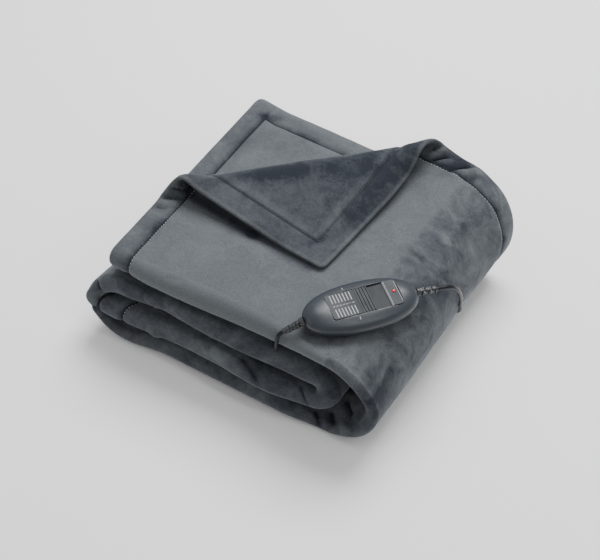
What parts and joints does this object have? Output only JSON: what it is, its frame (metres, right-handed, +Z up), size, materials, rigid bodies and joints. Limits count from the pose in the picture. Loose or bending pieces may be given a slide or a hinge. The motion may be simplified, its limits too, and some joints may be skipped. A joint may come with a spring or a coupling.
{
  "type": "folded electric heated blanket with slide control",
  "caption": "Plush electric heated throw folded into a stack with one corner turned over, its slide control on top and its lead coiled behind",
  "frame": {"origin": "on the floor under the middle of the folded stack, measured without the cords", "axes": "+Z up, +X along the front of the stack towards the side where the outer layer turns under, +Y from the front to the back where the hems lie"},
  "size_m": [0.3989, 0.441, 0.1783],
  "materials": {
    "plush": "brushed plush pile, blue-grey, lighter or darker with the way it is stroked",
    "housing": "satin dark grey moulding",
    "panel": "satin grey inlay",
    "lens": "clear red",
    "slider": "satin, ribbed at the grip",
    "cord": "soft dark grey",
    "pins": "nickel plate"
  },
  "bodies": {
    "throw": {"blanket": "plush", "housing_lower": "housing", "housing_upper": "housing", "lamp_panel": "panel", "lamp_lens": "lens", "relief_blanket": "cord", "relief_mains": "cord", "blanket_lead": "cord", "mains_lead": "cord", "lead_coil": "cord", "plug_tail": "cord", "plug_body": "cord", "plug_pin_a": "pins", "plug_pin_b": "pins"},
    "slider": {"heat_slider": "slider"}
  },
  "joints": [
    {"name": "heat_slide", "type": "slide", "parent": "throw", "child": "slider", "axis": [0.599, 0.7986, -0.0577], "range_m": [0, 0.018]}
  ]
}
